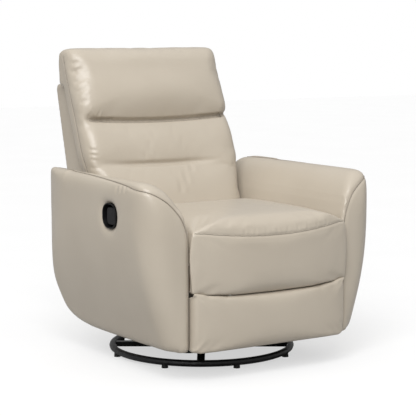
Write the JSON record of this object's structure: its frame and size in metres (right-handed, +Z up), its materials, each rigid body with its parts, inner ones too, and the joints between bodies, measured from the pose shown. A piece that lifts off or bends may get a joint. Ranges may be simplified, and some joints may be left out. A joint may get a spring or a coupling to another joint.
{
  "type": "swivel glider recliner chair",
  "caption": "Padded nursery armchair that swivels on a floor ring, glides on hanging links, reclines, and swings out a leg rest.",
  "frame": {"origin": "on the floor, under the middle of the bounding box", "axes": "+Z up, the chair faces -Y, +X to the right of someone looking at its front"},
  "size_m": [0.878, 0.9602, 1.0085],
  "materials": {
    "leather": "satin pale greige leather with fine grain",
    "black_paint": "satin black powder coat",
    "steel": "zinc plated steel",
    "spring_steel": "oiled spring steel",
    "timber": "plain sawn birch",
    "black_plastic": "fine satin moulding",
    "glide_plastic": "hard plastic glides"
  },
  "bodies": {
    "base": {"base_ring": "black_paint", "base_bar_long": "black_paint", "base_bar_left": "black_paint", "base_bar_right": "black_paint", "swivel_lower_plate": "steel", "spindle_nut": "steel", "glide_foot_1": "glide_plastic", "glide_foot_2": "glide_plastic", "glide_foot_3": "glide_plastic", "glide_foot_4": "glide_plastic", "glide_foot_5": "glide_plastic", "glide_foot_6": "glide_plastic", "glide_foot_7": "glide_plastic", "glide_foot_8": "glide_plastic"},
    "swivel": {"swivel_upper_plate": "black_paint", "glider_stand_left": "steel", "glider_stand_right": "steel"},
    "front_links": {"glide_link_front_left": "steel", "glide_link_front_right": "steel"},
    "rear_links": {"glide_link_rear_left": "steel", "glide_link_rear_right": "steel"},
    "seat": {"seat_hanger_left": "steel", "seat_hanger_right": "steel", "cross_rail_front": "steel", "cross_rail_rear": "steel", "mechanism_plate_left": "steel", "mechanism_plate_right": "steel", "side_rail_left": "timber", "side_rail_right": "timber", "front_rail": "timber", "seat_spring_1": "spring_steel", "seat_spring_2": "spring_steel", "seat_spring_3": "spring_steel", "seat_cushion": "leather", "front_panel": "leather", "rear_skirt": "leather", "arm_left": "leather", "arm_right": "leather", "pull_bezel": "black_plastic"},
    "back": {"back_board": "timber", "back_bracket_left": "steel", "back_bracket_right": "steel", "back_cushion": "leather", "headrest_cushion": "leather", "back_shell": "leather"},
    "drive_arms": {"drive_arm_left": "steel", "drive_arm_right": "steel", "drive_tube": "steel"},
    "idler_arms": {"idler_arm_left": "steel", "idler_arm_right": "steel"},
    "carrier_bars": {"carrier_bar_left": "steel", "carrier_bar_right": "steel"},
    "footrest": {"footrest_board": "timber", "footrest_bracket_left": "steel", "footrest_bracket_right": "steel", "footrest_pad": "leather"},
    "tie_bars": {"tie_bar_left": "steel", "tie_bar_right": "steel"},
    "release_paddle": {"release_paddle": "black_plastic"}
  },
  "joints": [
    {"name": "swivel", "type": "hinge", "parent": "base", "child": "swivel", "pos_m": [0, -0.03209, 0.037], "axis": [0, 0, 1], "continuous": true},
    {"name": "glide", "type": "hinge", "parent": "swivel", "child": "front_links", "pos_m": [0, -0.18209, 0.263], "axis": [1, 0, 0], "range_deg": [-14, 14]},
    {"name": "glide_seat_pivot", "type": "hinge", "parent": "front_links", "child": "seat", "pos_m": [0, -0.18209, 0.123], "axis": [1, 0, 0], "range_deg": [-15, 15]},
    {"name": "glide_rear_pivot", "type": "hinge", "parent": "swivel", "child": "rear_links", "pos_m": [0, 0.11791, 0.263], "axis": [1, 0, 0], "range_deg": [-15, 15]},
    {"name": "recline", "type": "hinge", "parent": "seat", "child": "back", "pos_m": [0, 0.23791, 0.334], "axis": [-1, 0, 0], "range_deg": [0, 28]},
    {"name": "footrest_drive", "type": "hinge", "parent": "seat", "child": "drive_arms", "pos_m": [0, -0.23709, 0.35], "axis": [-1, 0, 0], "range_deg": [0, 80]},
    {"name": "footrest_idler", "type": "hinge", "parent": "seat", "child": "idler_arms", "pos_m": [0, -0.12266, 0.31386], "axis": [-1, 0, 0], "range_deg": [0, 81]},
    {"name": "carrier_pivot", "type": "hinge", "parent": "drive_arms", "child": "carrier_bars", "pos_m": [0, -0.13988, 0.14155], "axis": [-1, 0, 0], "range_deg": [-81, 0]},
    {"name": "footrest_hinge", "type": "hinge", "parent": "carrier_bars", "child": "footrest", "pos_m": [0, -0.40409, 0.225], "axis": [-1, 0, 0], "range_deg": [0, 81]},
    {"name": "tie_pivot", "type": "hinge", "parent": "footrest", "child": "tie_bars", "pos_m": [0, -0.38972, 0.19419], "axis": [-1, 0, 0], "range_deg": [-81, 0]},
    {"name": "release_pull", "type": "hinge", "parent": "seat", "child": "release_paddle", "pos_m": [-0.43, -0.21209, 0.5], "axis": [0, 0, -1], "range_deg": [0, 22], "stiffness_Nm_per_rad": 0.4, "springref_deg": -11.46}
  ],
  "couplings": [
    {"joint": "glide_seat_pivot", "follows": "glide", "ratio": -1},
    {"joint": "glide_rear_pivot", "follows": "glide", "ratio": 1},
    {"joint": "footrest_idler", "follows": "footrest_drive", "ratio": 1},
    {"joint": "carrier_pivot", "follows": "footrest_drive", "ratio": -1},
    {"joint": "footrest_hinge", "follows": "footrest_drive", "ratio": 1},
    {"joint": "tie_pivot", "follows": "footrest_drive", "ratio": -1}
  ]
}
